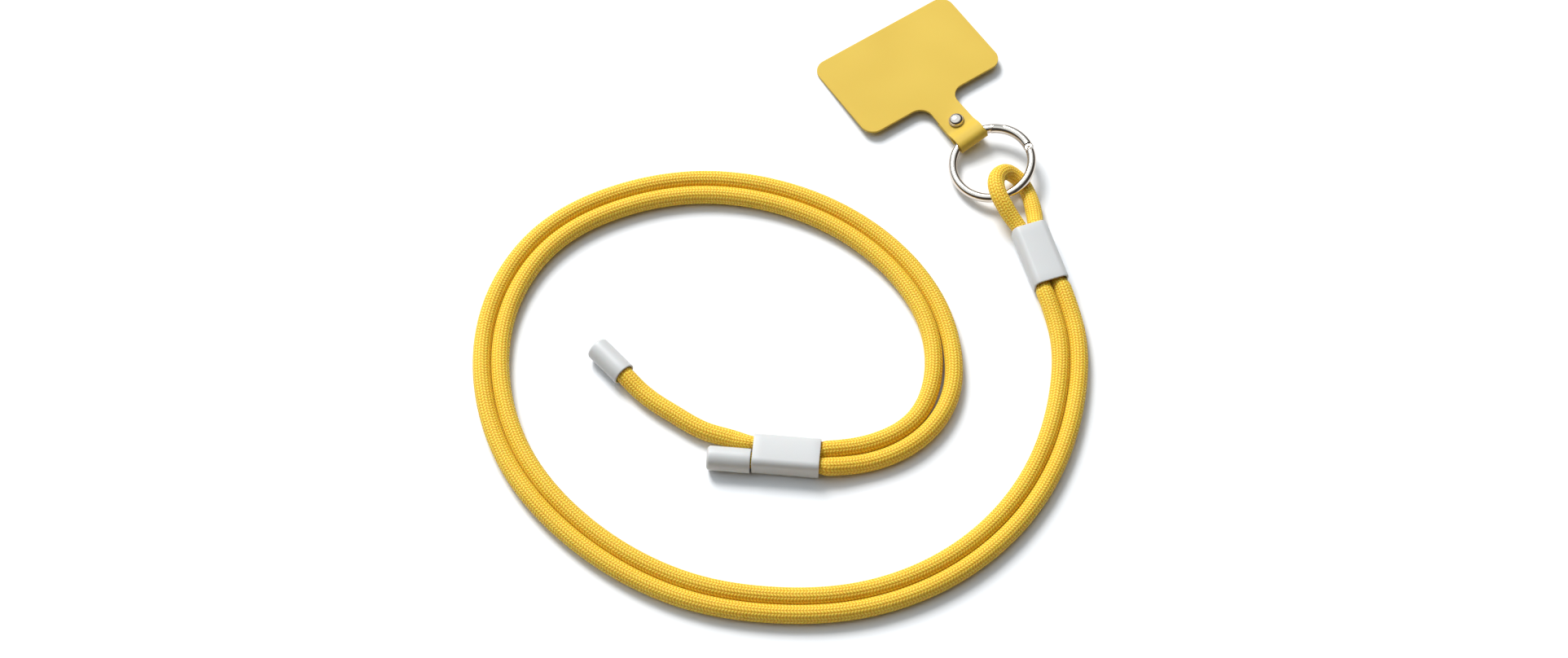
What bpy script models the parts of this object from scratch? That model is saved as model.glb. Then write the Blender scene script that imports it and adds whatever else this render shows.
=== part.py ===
"""Phone crossbody strap, laid in a spiral on a table.

A braided cord is folded in half: its middle loops through a spring ring, a sleeve keeps the loop
closed, and both strands lie side by side in a spiral to a second sleeve. One strand ends there in
a cap, and the other runs on as a short tail to its own cap. The ring also holds the folded tongue
of a flat tab, which goes between a phone and its case.

Metres, +Z up, with the table at Z = 0. The origin is on the table under the middle of the hard
pieces.
"""

from math import asin, atan2, cos, pi, radians, sin, sqrt, tan

import bmesh
import bpy
import numpy as np
from mathutils import Matrix, Vector

# Running gap between pieces
GAP = 0.0003

# Cord: full size, squeezed in a sleeve, in the loop and where the ring lies on it
CORD_D = 0.0070
SQUEEZED_D = 0.0057
CORD_BEVEL = 4
LANE_SPACING = CORD_D + GAP
SLEEVE_SPACING = SQUEEZED_D + GAP
CORD_STEP = 0.0225
LOOP_STEP = 0.0046
MOUTH_FLARE = 0.0060
SETTLE = 0.0180

# Sleeves
SLEEVE_LENGTH = 0.0253
SLEEVE_WALL = 0.0009
SLEEVE_WIDTH = SLEEVE_SPACING + SQUEEZED_D + 2 * GAP + 2 * SLEEVE_WALL
SLEEVE_HEIGHT = 0.0096
SLEEVE_CORNER = 0.0029
SLEEVE_EDGE = 0.00030

# End caps
CAP_D = 0.0093
CAP_WALL = 0.0008
CAP_LENGTH = 0.0164
CAP_CORNER = 0.0013
CAP_GAP = 0.0005
CORD_IN_CAP = 0.0135

# Where the short end's cap pushes the other strand aside as it leaves the sleeve
STEP_ASIDE = 0.0036
STEP_UP = 0.0013
STEP_D = 0.0044
CAP_ASIDE = 0.0034

# Ring, gate and hinge
RING_R = 0.0156
WIRE_D = 0.0036
GATE_D = 0.0040
RING_CENTRE = Vector((0.0644, 0.0270, 0.0064))
RING_SLOPE_X = 0.185
RING_SLOPE_Y = 0.050
PIN_ANGLE = radians(17.5)
HOOK_REACH = 0.0140
GATE_REACH = 0.0173
LAP_R = RING_R + 0.0001
PIN_D = 0.0010
PIN_HEAD_D = 0.0020
PIN_HEAD_T = 0.00025
BOSS_D = 0.0032
EAR_TOP = 0.00125
HINGE_PLATE_T = 0.0009
HINGE_PLATE_W = 0.0024
SHOULDER = 0.0020

# Tab and its tongue
TAB_WIDTH = 0.0650
TAB_HEIGHT = 0.0416
TAB_T = 0.0010
TAB_CORNER = 0.0055
TAB_HEADING = radians(33.2)
TONGUE_WIDTH = 0.0124
TONGUE_FILLET = 0.0055
TONGUE_REACH = 0.0225
TONGUE_ASIDE = -0.0003
TWIST_FROM = 0.0030
FOLD_BEND_R = 0.0035
FOLD_GAP = 0.0006
LAYER_PAST_SNAP = 0.0015

# Snap
SNAP_TO_WIRE = 0.0088
SNAP_AT = TONGUE_REACH - SNAP_TO_WIRE
SNAP_D = 0.0062
SNAP_DOME = 0.0016
SNAP_RIM = 0.0005
SNAP_GAP = 0.0004
SHANK_D = 0.0018
SOCKET_D = 0.0052
SOCKET_H = 0.0013

# Middle line of the two strands from the slider sleeve round the spiral to the loop sleeve,
# chosen by hand: x, y and how far the strands stand apart beyond touching
PAIR_ROUTE = (
    (0.0060, -0.1011, 0.0003),
    (0.0211, -0.0968, 0.0004),
    (0.0344, -0.0872, 0.0003),
    (0.0418, -0.0729, 0.0010),
    (0.0431, -0.0570, 0.0004),
    (0.0400, -0.0412, 0.0000),
    (0.0333, -0.0269, 0.0000),
    (0.0241, -0.0146, 0.0000),
    (0.0016, 0.0037, 0.0000),
    (-0.0240, 0.0143, 0.0000),
    (-0.0517, 0.0175, 0.0000),
    (-0.0808, 0.0117, 0.0000),
    (-0.1089, -0.0051, 0.0000),
    (-0.1266, -0.0362, 0.0000),
    (-0.1279, -0.0729, 0.0000),
    (-0.1159, -0.1055, 0.0000),
    (-0.0961, -0.1295, 0.0000),
    (-0.0737, -0.1461, 0.0000),
    (-0.0493, -0.1567, 0.0000),
    (-0.0224, -0.1612, 0.0000),
    (0.0082, -0.1598, 0.0000),
    (0.0419, -0.1471, 0.0000),
    (0.0727, -0.1179, 0.0000),
    (0.0836, -0.0969, 0.0000),
    (0.0900, -0.0729, 0.0000),
    (0.0908, -0.0476, 0.0000),
)

# Middle of the cord where it loops through the ring, chosen by hand: x, y, z and diameter.
# It leaves the loop sleeve, goes under the wire, round inside the ring and back over the wire.
LOOP_ROUTE = (
    (0.0804, 0.0023, 0.0044, 0.0064),
    (0.0795, 0.0100, 0.0034, 0.0064),
    (0.0784, 0.0147, 0.0030, 0.0060),
    (0.0771, 0.0178, 0.0030, 0.0060),
    (0.0754, 0.0204, 0.0033, 0.0061),
    (0.0729, 0.0220, 0.0050, 0.0063),
    (0.0702, 0.0222, 0.0072, 0.0064),
    (0.0676, 0.0204, 0.0094, 0.0065),
    (0.0658, 0.0177, 0.0108, 0.0066),
    (0.0652, 0.0145, 0.0114, 0.0067),
    (0.0656, 0.0112, 0.0115, 0.0067),
    (0.0667, 0.0080, 0.0110, 0.0067),
    (0.0683, 0.0051, 0.0100, 0.0067),
    (0.0701, 0.0023, 0.0086, 0.0066),
)

# Middle of the free tail from the slider sleeve to its cap, chosen by hand: x and y
TAIL_ROUTE = (
    (-0.0367, -0.0935),
    (-0.0459, -0.0906),
    (-0.0521, -0.0875),
    (-0.0599, -0.0823),
    (-0.0655, -0.0785),
    (-0.0721, -0.0729),
)
TAIL_CAP_MOUTH = (-0.0782, -0.0666)
TAIL_CAP_HEADING = radians(132.6)

# Middle of each sleeve's axis, its heading on the table and how far its far end is lifted
SLIDER_MIDDLE = Vector((-0.0167, -0.1010, SLEEVE_HEIGHT / 2))
SLIDER_HEADING = radians(-5.1)
LOOP_SLEEVE_XY = (0.0815, -0.0151)
LOOP_SLEEVE_HEADING = radians(108.4)
LOOP_SLEEVE_LIFT = radians(3.6)

UP = Vector((0, 0, 1))


def clear_scene():
    for obj in list(bpy.data.objects):
        bpy.data.objects.remove(obj)


def new_material(name, colour, roughness, metallic=0.0):
    material = bpy.data.materials.new(name)
    material.use_nodes = True
    shader = material.node_tree.nodes["Principled BSDF"]
    shader.inputs["Base Color"].default_value = (*colour, 1.0)
    shader.inputs["Roughness"].default_value = roughness
    shader.inputs["Metallic"].default_value = metallic
    return material


def frame(origin, x_axis, up=UP):
    """Matrix of a piece at origin, with its x along x_axis and its z as near up as that allows."""
    x = x_axis.normalized()
    y = up.cross(x).normalized()
    z = x.cross(y)
    return Matrix.Translation(origin) @ Matrix((x, y, z)).transposed().to_4x4()


def add_object(name, bm, material, place=Matrix.Identity(4)):
    mesh = bpy.data.meshes.new(name)
    bm.to_mesh(mesh)
    bm.free()
    mesh.shade_smooth()
    mesh.set_sharp_from_angle(angle=radians(35))
    mesh.materials.append(material)
    obj = bpy.data.objects.new(name, mesh)
    bpy.context.collection.objects.link(obj)
    obj.matrix_world = place
    return obj


def add_cutter(name, bm, place=Matrix.Identity(4)):
    """A helper that cuts or joins, and is no piece itself."""
    mesh = bpy.data.meshes.new(name)
    bm.to_mesh(mesh)
    bm.free()
    obj = bpy.data.objects.new(name, mesh)
    bpy.context.collection.objects.link(obj)
    obj.matrix_world = place
    obj.hide_render = True
    obj.display_type = "WIRE"
    return obj


def combine(obj, other, operation):
    modifier = obj.modifiers.new(f"{operation.title()} {other.name}", "BOOLEAN")
    modifier.operation = operation
    modifier.object = other


def thicken(obj, thickness, offset):
    modifier = obj.modifiers.new("Wall", "SOLIDIFY")
    modifier.thickness = thickness
    modifier.offset = offset
    modifier.use_even_offset = True


def round_edges(obj, width, segments=2):
    modifier = obj.modifiers.new("Edges", "BEVEL")
    modifier.width = width
    modifier.segments = segments
    modifier.limit_method = "ANGLE"
    modifier.angle_limit = radians(50)


def arc(centre, radius, start, end, steps):
    """Points on a circle in its own plane, from the start angle to the end angle."""
    turn = np.linspace(start, end, steps + 1)
    return [(centre[0] + radius * cos(a), centre[1] + radius * sin(a)) for a in turn]


def spun(profile, centre, axis, start, angle, steps, closed=True):
    """A bmesh of a profile turned round an axis, with its two ends filled unless it closes."""
    bm = bmesh.new()
    verts = [bm.verts.new(point) for point in profile]
    pairs = list(zip(verts, verts[1:] + verts[:1])) if closed else list(zip(verts, verts[1:]))
    edges = [bm.edges.new(pair) for pair in pairs]
    bmesh.ops.rotate(bm, verts=verts, cent=centre, matrix=Matrix.Rotation(start, 3, axis))
    whole = abs(abs(angle) - 2 * pi) < 1e-9
    bmesh.ops.spin(
        bm, geom=verts + edges, cent=centre, axis=axis, angle=angle, steps=steps,
        use_merge=whole, use_duplicate=False,
    )
    bmesh.ops.remove_doubles(bm, verts=bm.verts, dist=1e-6)
    if closed and not whole:
        bmesh.ops.holes_fill(bm, edges=[e for e in bm.edges if e.is_boundary], sides=0)
    bmesh.ops.recalc_face_normals(bm, faces=bm.faces)
    return bm


def turned(profile, sides):
    """A bmesh of a lathe profile of (radius, height) turned round local Z."""
    return spun([(r, 0, z) for r, z in profile], (0, 0, 0), UP, 0, 2 * pi, sides, closed=False)


def ring_sweep(section, start, end, steps):
    """A bmesh of a section of (radius, height) swept round the ring's axis between two angles."""
    return spun([(r, 0, z) for r, z in section], (0, 0, 0), UP, start, end - start, steps)


def box(low, high):
    bm = bmesh.new()
    middle = (Vector(low) + Vector(high)) / 2
    size = Vector(high) - Vector(low)
    bmesh.ops.create_cube(bm, size=1, matrix=Matrix.Translation(middle) @ Matrix.Diagonal((*size, 1)))
    return bm


def cylinder(radius, low, high, sides=20):
    """A bmesh cylinder round local Z, turned half a side so that no corner lies on an axis."""
    bm = bmesh.new()
    bmesh.ops.create_cone(
        bm, cap_ends=True, segments=sides, radius1=radius, radius2=radius, depth=high - low,
        matrix=Matrix.Translation((0, 0, (low + high) / 2)) @ Matrix.Rotation(pi / sides, 4, "Z"),
    )
    return bm


def smoothstep(x):
    x = np.clip(x, 0, 1)
    return x * x * (3 - 2 * x)


def spline(knots):
    """A natural cubic spline through the knots, by chord length: its length and its reader."""
    knots = np.asarray(knots, float)
    at = np.concatenate([[0], np.cumsum(np.linalg.norm(np.diff(knots[:, :3], axis=0), axis=1))])
    step = np.diff(at)
    count = len(knots)
    matrix = np.eye(count)
    right = np.zeros_like(knots)
    for i in range(1, count - 1):
        matrix[i, i - 1 : i + 2] = step[i - 1], 2 * (step[i - 1] + step[i]), step[i]
        right[i] = 6 * (
            (knots[i + 1] - knots[i]) / step[i] - (knots[i] - knots[i - 1]) / step[i - 1]
        )
    bend = np.linalg.solve(matrix, right)

    def read(where):
        i = np.clip(np.searchsorted(at, where, side="right") - 1, 0, count - 2)
        h = step[i][:, None]
        a = (at[i + 1] - where)[:, None]
        b = (where - at[i])[:, None]
        return (
            (bend[i] * a**3 + bend[i + 1] * b**3) / (6 * h)
            + (knots[i] / h - bend[i] * h / 6) * a
            + (knots[i + 1] / h - bend[i + 1] * h / 6) * b
        )

    return at, read


def sleeve_place(middle, heading, lift=0.0):
    along = Vector((cos(heading) * cos(lift), sin(heading) * cos(lift), sin(lift)))
    return frame(middle, along)


def slider_place():
    return sleeve_place(SLIDER_MIDDLE, SLIDER_HEADING)


def loop_sleeve_place():
    height = SLEEVE_LENGTH / 2 * sin(LOOP_SLEEVE_LIFT) + SLEEVE_HEIGHT / 2 * cos(LOOP_SLEEVE_LIFT)
    return sleeve_place(Vector((*LOOP_SLEEVE_XY, height)), LOOP_SLEEVE_HEADING, LOOP_SLEEVE_LIFT)


def short_cap_place():
    """Mouth of the short end's cap, with local x out of the mouth towards the sleeve."""
    slider = slider_place()
    mouth = slider @ Vector((-SLEEVE_LENGTH / 2 - CAP_GAP, -CAP_ASIDE, 0))
    mouth.z = CAP_D / 2
    return frame(mouth, slider.to_3x3() @ Vector((1, 0, 0)))


def tail_cap_place():
    out = Vector((-cos(TAIL_CAP_HEADING), -sin(TAIL_CAP_HEADING), 0))
    return frame(Vector((*TAIL_CAP_MOUTH, CAP_D / 2)), out)


def knot(place, x, y=0.0, z=0.0, diameter=CORD_D):
    """A knot of the cord's route, given in a piece's own axes."""
    return (*(place @ Vector((x, y, z))), diameter)


def pair_stretch():
    """The outer and the inner strand between the sleeves, as rows of x, y, z and diameter."""
    slider, sleeve = slider_place(), loop_sleeve_place()
    end = SLEEVE_LENGTH / 2
    on_table = [(x, y, CORD_D / 2, spread) for x, y, spread in PAIR_ROUTE]
    at, read = spline(
        [knot(slider, 0, diameter=0), knot(slider, end, diameter=0), *on_table,
         knot(sleeve, -end, diameter=0), knot(sleeve, 0, diameter=0)]
    )
    first, last = at[1], at[-2]
    count = round((last - first - 2 * MOUTH_FLARE) / CORD_STEP)
    between = np.linspace(first + MOUTH_FLARE, last - MOUTH_FLARE, count + 1)
    stations = np.concatenate([[first], between, [last]])
    middle = read(stations)
    ahead = read(stations + 1e-4) - read(stations - 1e-4)
    side = np.stack([ahead[:, 1], -ahead[:, 0]], axis=1)
    side /= np.linalg.norm(side, axis=1)[:, None]
    to_sleeve = np.minimum(stations - first, last - stations)
    full = smoothstep(to_sleeve / MOUTH_FLARE)
    diameter = SQUEEZED_D + (CORD_D - SQUEEZED_D) * full
    spread = np.clip(middle[:, 3], 0, None) * full
    apart = SLEEVE_SPACING + (LANE_SPACING - SLEEVE_SPACING) * full + spread
    on_floor = smoothstep(to_sleeve / SETTLE)
    height = middle[0, 2] + (middle[-1, 2] - middle[0, 2]) * (stations - first) / (last - first)
    height = height + (CORD_D / 2 - height) * on_floor
    lanes = []
    for way in (1, -1):
        xy = middle[:, :2] + way * side * apart[:, None] / 2
        lanes.append(np.column_stack([xy, height, diameter]))
    return lanes


def loop_stretch():
    """The cord from the loop sleeve's outer lane through the ring to its inner lane."""
    sleeve = loop_sleeve_place()
    end, lane = SLEEVE_LENGTH / 2, SLEEVE_SPACING / 2
    at, read = spline(
        [knot(sleeve, 0, -lane, 0, SQUEEZED_D), knot(sleeve, end, -lane, 0, SQUEEZED_D),
         *LOOP_ROUTE,
         knot(sleeve, end, lane, 0, SQUEEZED_D), knot(sleeve, 0, lane, 0, SQUEEZED_D)]
    )
    count = round((at[-2] - at[1]) / LOOP_STEP)
    return read(np.linspace(at[1], at[-2], count + 1))


def tail_stretch():
    """The free tail from inside the slider sleeve to deep inside its cap."""
    slider, cap = slider_place(), tail_cap_place()
    end = SLEEVE_LENGTH / 2
    on_table = [(x, y, CORD_D / 2, CORD_D) for x, y in TAIL_ROUTE]
    start = knot(slider, -end, STEP_ASIDE, STEP_UP, STEP_D)
    at, read = spline(
        [knot(slider, -end / 2, STEP_ASIDE * 0.9, STEP_UP, STEP_D), start, *on_table,
         knot(cap, 0), knot(cap, -CORD_IN_CAP / 2)]
    )
    count = round((at[-2] - at[1]) / CORD_STEP * 2)
    rows = read(np.linspace(at[1], at[-2], count + 1))
    rows[:, 3] = np.clip(rows[:, 3], STEP_D, CORD_D)
    return np.vstack([rows, knot(cap, -CORD_IN_CAP)])


def cord_rows():
    """Every point of the cord from the short end's cap to the tail's, with its diameter."""
    slider, sleeve, cap = slider_place(), loop_sleeve_place(), short_cap_place()
    end, lane = SLEEVE_LENGTH / 2, SLEEVE_SPACING / 2
    outer, inner = pair_stretch()
    loop = loop_stretch()
    rows = np.vstack(
        [
            knot(cap, -CORD_IN_CAP),
            knot(cap, -CORD_IN_CAP / 2),
            knot(cap, -MOUTH_FLARE / 2, CAP_ASIDE - lane, 0, SQUEEZED_D),
            outer,
            loop,
            inner[::-1],
            knot(slider, 0, lane, 0, SQUEEZED_D),
            tail_stretch(),
        ]
    )
    rows[:, 2] = np.maximum(rows[:, 2], rows[:, 3] / 2)
    return rows


def make_cord(material):
    rows = cord_rows()
    curve = bpy.data.curves.new("cord", "CURVE")
    curve.dimensions = "3D"
    curve.bevel_depth = CORD_D / 2
    curve.bevel_resolution = CORD_BEVEL
    curve.use_fill_caps = True
    line = curve.splines.new("POLY")
    line.points.add(len(rows) - 1)
    for point, row in zip(line.points, rows):
        point.co = (*row[:3], 1)
        point.radius = row[3] / CORD_D
    curve.materials.append(material)
    obj = bpy.data.objects.new("cord", curve)
    bpy.context.collection.objects.link(obj)
    length = np.linalg.norm(np.diff(rows[:, :3], axis=0), axis=1).sum()
    print(f"cord: {len(rows)} points, {1000 * length:.0f} mm long")


def make_sleeve(name, place, material):
    """A flattened tube round both strands: a rounded rectangle extruded, then given its wall."""
    half_w, half_h, r = SLEEVE_WIDTH / 2, SLEEVE_HEIGHT / 2, SLEEVE_CORNER
    outline = []
    corners = ((1, 1, 0), (-1, 1, pi / 2), (-1, -1, pi), (1, -1, 3 * pi / 2))
    for sx, sy, start in corners:
        centre = (sx * (half_w - r), sy * (half_h - r))
        outline += arc(centre, r, start, start + pi / 2, 5)
    bm = bmesh.new()
    verts = [bm.verts.new((-SLEEVE_LENGTH / 2, y, z)) for y, z in outline]
    edges = [bm.edges.new(pair) for pair in zip(verts, verts[1:] + verts[:1])]
    made = bmesh.ops.extrude_edge_only(bm, edges=edges)["geom"]
    moved = [item for item in made if isinstance(item, bmesh.types.BMVert)]
    bmesh.ops.translate(bm, verts=moved, vec=(SLEEVE_LENGTH, 0, 0))
    bmesh.ops.recalc_face_normals(bm, faces=bm.faces)
    sleeve = add_object(name, bm, material, place)
    thicken(sleeve, SLEEVE_WALL, -1)
    round_edges(sleeve, SLEEVE_EDGE)
    return sleeve


def make_cap(name, place, material):
    """A thimble over the cord's end, turned round local X with its mouth at the origin."""
    r = CAP_D / 2
    closed_end = arc((CAP_LENGTH - CAP_CORNER, r - CAP_CORNER), CAP_CORNER, pi / 2, 0, 4)
    profile = [(0.0, r), *closed_end, (CAP_LENGTH, 0.0)]
    bm = turned([(radius, -x) for x, radius in profile], 24)
    bmesh.ops.rotate(bm, verts=bm.verts, matrix=Matrix.Rotation(pi / 2, 3, "Y"))
    bmesh.ops.recalc_face_normals(bm, faces=bm.faces)
    if sum(f.normal.dot(f.calc_center_median() + Vector((CAP_LENGTH / 2, 0, 0))) for f in bm.faces) < 0:
        bmesh.ops.reverse_faces(bm, faces=bm.faces)
    cap = add_object(name, bm, material, place)
    thicken(cap, CAP_WALL, -1)
    round_edges(cap, SLEEVE_EDGE)
    return cap


def ring_place():
    """Local Z is the ring's axis, and local X is as near world X as its slope allows."""
    normal = Vector((-RING_SLOPE_X, -RING_SLOPE_Y, 1)).normalized()
    return frame(RING_CENTRE, Vector((0, 1, 0)).cross(normal), normal)


def pin_local():
    return Vector((RING_R * cos(PIN_ANGLE), RING_R * sin(PIN_ANGLE), 0))


def pin_place():
    """On the hinge's axis, with local X along the wire towards the gate."""
    here = Matrix.Translation(pin_local()) @ Matrix.Rotation(PIN_ANGLE + pi / 2, 4, "Z")
    return ring_place() @ here


def lap_cutter(name, inner, outer, reach, operation):
    """The band between two ring radii over the gate's end, within or beyond a reach of the pin.

    The ends that pass each other as the gate swings then follow arcs round its hinge.
    """
    deep = 2 * GATE_D
    section = [(inner, -deep), (outer, -deep), (outer, deep), (inner, deep)]
    half_way = PIN_ANGLE + asin(HOOK_REACH / 2 / RING_R)
    past = PIN_ANGLE + 2 * asin(GATE_REACH / 2 / RING_R) + GATE_D / RING_R
    band = add_cutter(name, ring_sweep(section, half_way, past, 24), ring_place())
    combine(band, add_cutter(f"{name}_reach", cylinder(reach, -2 * deep, 2 * deep, 96), pin_place()),
            operation)
    return band


def make_ring(material):
    """The wire from the hook over the gate's tip round to the forked knuckle of the hinge."""
    place, pin = ring_place(), pin_place()
    wire = arc((RING_R, 0), WIRE_D / 2, 0, 2 * pi - 2 * pi / 16, 15)
    start = PIN_ANGLE + 2 * asin(HOOK_REACH / 2 / RING_R) - WIRE_D / 2 / RING_R
    ring = add_object("spring_ring", ring_sweep(wire, start, PIN_ANGLE + 2 * pi, 62), material, place)
    inside, outside = RING_R - GATE_D, RING_R + GATE_D
    hook_end = lap_cutter("hook_end", inside, outside, HOOK_REACH + GAP, "INTERSECT")
    combine(ring, hook_end, "DIFFERENCE")
    gate_seat = lap_cutter("gate_seat", inside, LAP_R + GAP / 2, GATE_REACH + GAP, "INTERSECT")
    combine(ring, gate_seat, "DIFFERENCE")
    boss = cylinder(BOSS_D / 2, -EAR_TOP, EAR_TOP, 24)
    combine(ring, add_cutter("knuckle", boss, pin), "UNION")
    slot_t = HINGE_PLATE_T / 2 + GAP
    slot = box((-HINGE_PLATE_W / 2 - 1.5 * GAP, -BOSS_D, -slot_t), (BOSS_D, BOSS_D, slot_t))
    combine(ring, add_cutter("fork_slot", slot, pin), "DIFFERENCE")
    for name, low, high in (("upper_face", EAR_TOP, WIRE_D), ("lower_face", -WIRE_D, -EAR_TOP)):
        face = cylinder(PIN_HEAD_D / 2 + GAP, low, high, 24)
        combine(ring, add_cutter(name, face, pin), "DIFFERENCE")
    hole = cylinder(PIN_D / 2 + GAP, -WIRE_D, WIRE_D)
    combine(ring, add_cutter("ear_hole", hole, pin), "DIFFERENCE")
    return ring


def make_gate(material):
    """The sprung gate, with its origin on the hinge's axis and its tip under the hook."""
    tube = arc((RING_R, 0), GATE_D / 2, 0, 2 * pi - 2 * pi / 16, 15)
    tip = PIN_ANGLE + 2 * asin(GATE_REACH / 2 / RING_R) + GATE_D / 2 / RING_R
    bm = ring_sweep(tube, PIN_ANGLE + SHOULDER / RING_R, tip, 22)
    bmesh.ops.translate(bm, verts=bm.verts, vec=-pin_local())
    pin = pin_place()
    gate = add_object("ring_gate", bm, material, ring_place() @ Matrix.Translation(pin_local()))
    reach = cylinder(GATE_REACH, -GATE_D, GATE_D, 96)
    combine(gate, add_cutter("gate_reach", reach, pin), "INTERSECT")
    hook_seat = lap_cutter("hook_seat", LAP_R - GAP / 2, RING_R + 2 * GATE_D, HOOK_REACH, "DIFFERENCE")
    combine(gate, hook_seat, "DIFFERENCE")
    half = HINGE_PLATE_T / 2
    plate = box((0, -HINGE_PLATE_W / 2, -half), (SHOULDER + WIRE_D / 2, HINGE_PLATE_W / 2, half))
    combine(gate, add_cutter("hinge_plate", plate, pin), "UNION")
    eye = cylinder(HINGE_PLATE_W / 2, -half, half, 24)
    combine(gate, add_cutter("hinge_eye", eye, pin), "UNION")
    hole = cylinder(PIN_D / 2 + GAP, -GATE_D, GATE_D)
    combine(gate, add_cutter("gate_hole", hole, pin), "DIFFERENCE")
    return gate


def make_pin(material):
    head, shaft = PIN_HEAD_D / 2, PIN_D / 2
    low = EAR_TOP + GAP
    high = low + PIN_HEAD_T
    profile = [(0, -high), (head * 0.8, -high), (head, -high + PIN_HEAD_T / 3), (head, -low),
               (shaft, -low), (shaft, low), (head, low), (head, high - PIN_HEAD_T / 3),
               (head * 0.8, high), (0, high)]
    return add_object("gate_pin", turned(profile, 20), material, pin_place())


def wire_under_tongue():
    """The point of the wire that the tongue is folded round, in world axes."""
    place = ring_place()
    normal = place.to_3x3() @ UP
    away = Vector((-sin(TAB_HEADING), cos(TAB_HEADING), 0))
    outward = (away - normal * away.dot(normal)).normalized()
    return RING_CENTRE + RING_R * outward + TONGUE_ASIDE * outward.cross(normal)


def tab_place():
    """Local X across the tab, local Y from the tongue towards its far edge, at the near edge."""
    wire = wire_under_tongue()
    tilt = asin((wire.z - TAB_T / 2) / (TAB_HEIGHT + TONGUE_REACH))
    across = Vector((cos(TAB_HEADING), sin(TAB_HEADING), 0))
    away = Vector((-sin(TAB_HEADING) * cos(tilt), cos(TAB_HEADING) * cos(tilt), -sin(tilt)))
    return frame(wire + away * TONGUE_REACH, across, across.cross(away))


def tongue_twist(reach):
    """Turn about the tongue's length that brings it from the tab's slope to the wire's."""
    normal = ring_place().to_3x3() @ UP
    across = Vector((cos(TAB_HEADING), sin(TAB_HEADING), 0))
    slope = across - normal * across.dot(normal)
    at_wire = atan2(slope.z, slope.xy.length)
    share = (reach - TWIST_FROM) / (TONGUE_REACH - TWIST_FROM)
    return at_wire * float(smoothstep(share))


def sheet_point(across, reach, height):
    """Local place on the tongue, which twists to the wire's slope and bows along its curve."""
    turn = tongue_twist(reach)
    from_centre = across + TONGUE_ASIDE
    bow = RING_R - sqrt(RING_R**2 - from_centre**2)
    share = float(smoothstep((reach - SNAP_AT) / (TONGUE_REACH - SNAP_AT)))
    return Vector((across * cos(turn) - height * sin(turn), -reach - bow * share,
                   across * sin(turn) + height * cos(turn)))


def rounded_path(corners, radii, steps):
    """A line through the corners, each turned as an arc of its radius, as (along, height)."""
    points = [Vector(corners[0])]
    for before, corner, after, r in zip(corners, corners[1:], corners[2:], radii):
        before, corner, after = Vector(before), Vector(corner), Vector(after)
        back, on = (before - corner).normalized(), (after - corner).normalized()
        half = back.angle(on) / 2
        centre = corner + (back + on).normalized() * (r / sin(half))
        first = corner + back * (r / tan(half))
        last = corner + on * (r / tan(half))
        start = atan2(*(first - centre).yx)
        turn = atan2(*(last - centre).yx) - start
        turn = (turn + pi) % (2 * pi) - pi
        points += [Vector(p) for p in arc(centre, r, start, start + turn, steps)]
    return points + [Vector(corners[-1])]


def make_tab(material):
    """The plate and the tongue as one sheet, folded round the wire, then given its thickness."""
    fold_r = WIRE_D / 2 + FOLD_GAP + TAB_T / 2
    under = -(TAB_T + GAP)
    bend_at = SNAP_AT + SNAP_D / 2 + SNAP_GAP
    crest = TONGUE_REACH - WIRE_D / 2
    tip = TONGUE_REACH + fold_r
    path = rounded_path(
        [(SNAP_AT, 0), (bend_at, 0), (crest, fold_r), (tip, fold_r), (tip, -fold_r),
         (crest, -fold_r), (bend_at, under), (SNAP_AT, under)],
        [FOLD_BEND_R, FOLD_BEND_R, fold_r, fold_r, FOLD_BEND_R, FOLD_BEND_R], 6,
    )
    half_w, r, fillet = TAB_WIDTH / 2, TAB_CORNER, TONGUE_FILLET
    neck = TONGUE_WIDTH / 2 + fillet
    turns = np.linspace(0, pi / 2, 7)
    bm = bmesh.new()

    def add_rows(rows):
        grid = [[bm.verts.new(point) for point in row] for row in rows]
        for first, second in zip(grid, grid[1:]):
            for i in range(len(first) - 1):
                bm.faces.new((first[i], first[i + 1], second[i + 1], second[i]))

    far = [(-TAB_HEIGHT + r * (1 - cos(a)), half_w - r * (1 - sin(a))) for a in turns]
    near = [(-r * (1 - sin(a)), half_w - r * (1 - cos(a))) for a in turns]
    plate = far + near
    middle = np.linspace(-neck, neck, 9)
    wings = np.linspace(0, 1, 5)[1:]
    rows = []
    for reach, half in plate:
        right = [neck + (half - neck) * share for share in wings]
        across = [-x for x in reversed(right)] + list(middle) + right
        rows.append([(x, -reach, 0) for x in across])
    add_rows(rows)
    rows = []
    for a in turns:
        reach = fillet * (1 - cos(a))
        half = TONGUE_WIDTH / 2 + fillet * (1 - sin(a))
        rows.append([sheet_point(half * share, reach, 0) for share in np.linspace(-1, 1, 9)])
    straight = np.linspace(fillet, SNAP_AT, 4)[1:-1]
    along = [*((x, 0.0) for x in straight), *path, (SNAP_AT - SOCKET_D / 2 - LAYER_PAST_SNAP, under)]
    for reach, height in along:
        half = TONGUE_WIDTH / 2
        rows.append([sheet_point(half * share, reach, height) for share in np.linspace(-1, 1, 9)])
    add_rows(rows)
    bmesh.ops.remove_doubles(bm, verts=bm.verts, dist=1e-6)
    bmesh.ops.recalc_face_normals(bm, faces=bm.faces)
    place = tab_place()
    tab = add_object("phone_tab", bm, material, place)
    thicken(tab, TAB_T, 0)
    hole = cylinder(SHANK_D / 2 + GAP, -TAB_T * 4, TAB_T * 2)
    combine(tab, add_cutter("shank_hole", hole, snap_place()), "DIFFERENCE")
    return tab


def snap_place():
    """On the tongue's middle line, square to the sheet there."""
    turn = Matrix.Rotation(-tongue_twist(SNAP_AT), 4, "Y")
    return tab_place() @ Matrix.Translation((0, -SNAP_AT, 0)) @ turn


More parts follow.
